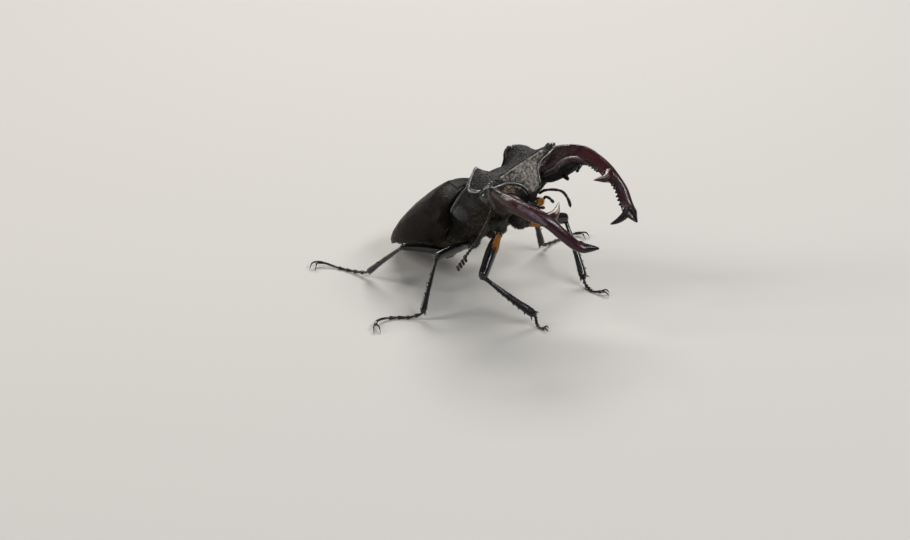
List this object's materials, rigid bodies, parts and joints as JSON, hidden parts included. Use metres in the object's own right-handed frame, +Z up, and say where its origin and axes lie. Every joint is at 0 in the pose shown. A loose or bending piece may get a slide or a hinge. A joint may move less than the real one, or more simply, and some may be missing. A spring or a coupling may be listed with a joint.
{
  "type": "stag beetle",
  "caption": "Large male stag beetle in its threat posture: forebody raised, antlered jaws spread, standing on jointed legs.",
  "frame": {"origin": "centre of the bounding box at the level the feet stand on", "axes": "+X the way the beetle heads, +Y its left side, +Z up"},
  "size_m": [0.0658, 0.064, 0.0323],
  "materials": {
    "elytra_chitin": "satin, finely grained",
    "shield_chitin": "dull satin with fine granules",
    "jaw_chitin": "glossy, deep red brown with black teeth and tips",
    "leg_chitin": "glossy black",
    "belly_chitin": "satin under pale down",
    "feeler_chitin": "semi-gloss dark brown",
    "eye_lens": "glossy black"
  },
  "bodies": {
    "root": {"abdomen": "belly_chitin", "antenna_club_left": "feeler_chitin", "antenna_club_right": "feeler_chitin", "antenna_scape_left": "feeler_chitin", "antenna_scape_right": "feeler_chitin", "elytron_left": "elytra_chitin", "elytron_right": "elytra_chitin", "eye_left": "eye_lens", "eye_right": "eye_lens", "head": "shield_chitin", "hind_thorax": "belly_chitin", "labial_palp_left": "feeler_chitin", "labial_palp_right": "feeler_chitin", "labrum": "shield_chitin", "leg_front_left_coxa": "leg_chitin", "leg_front_left_femur": "leg_chitin", "leg_front_left_tarsus": "leg_chitin", "leg_front_left_tibia": "leg_chitin", "leg_front_right_coxa": "leg_chitin", "leg_front_right_femur": "leg_chitin", "leg_front_right_tarsus": "leg_chitin", "leg_front_right_tibia": "leg_chitin", "leg_hind_left_coxa": "leg_chitin", "leg_hind_left_femur": "leg_chitin", "leg_hind_left_tarsus": "leg_chitin", "leg_hind_left_tibia": "leg_chitin", "leg_hind_right_coxa": "leg_chitin", "leg_hind_right_femur": "leg_chitin", "leg_hind_right_tarsus": "leg_chitin", "leg_hind_right_tibia": "leg_chitin", "leg_middle_left_coxa": "leg_chitin", "leg_middle_left_femur": "leg_chitin", "leg_middle_left_tarsus": "leg_chitin", "leg_middle_left_tibia": "leg_chitin", "leg_middle_right_coxa": "leg_chitin", "leg_middle_right_femur": "leg_chitin", "leg_middle_right_tarsus": "leg_chitin", "leg_middle_right_tibia": "leg_chitin", "mandible_left": "jaw_chitin", "mandible_right": "jaw_chitin", "maxillary_palp_left": "feeler_chitin", "maxillary_palp_right": "feeler_chitin", "prothorax": "shield_chitin", "scutellum": "shield_chitin"}
  },
  "joints": []
}
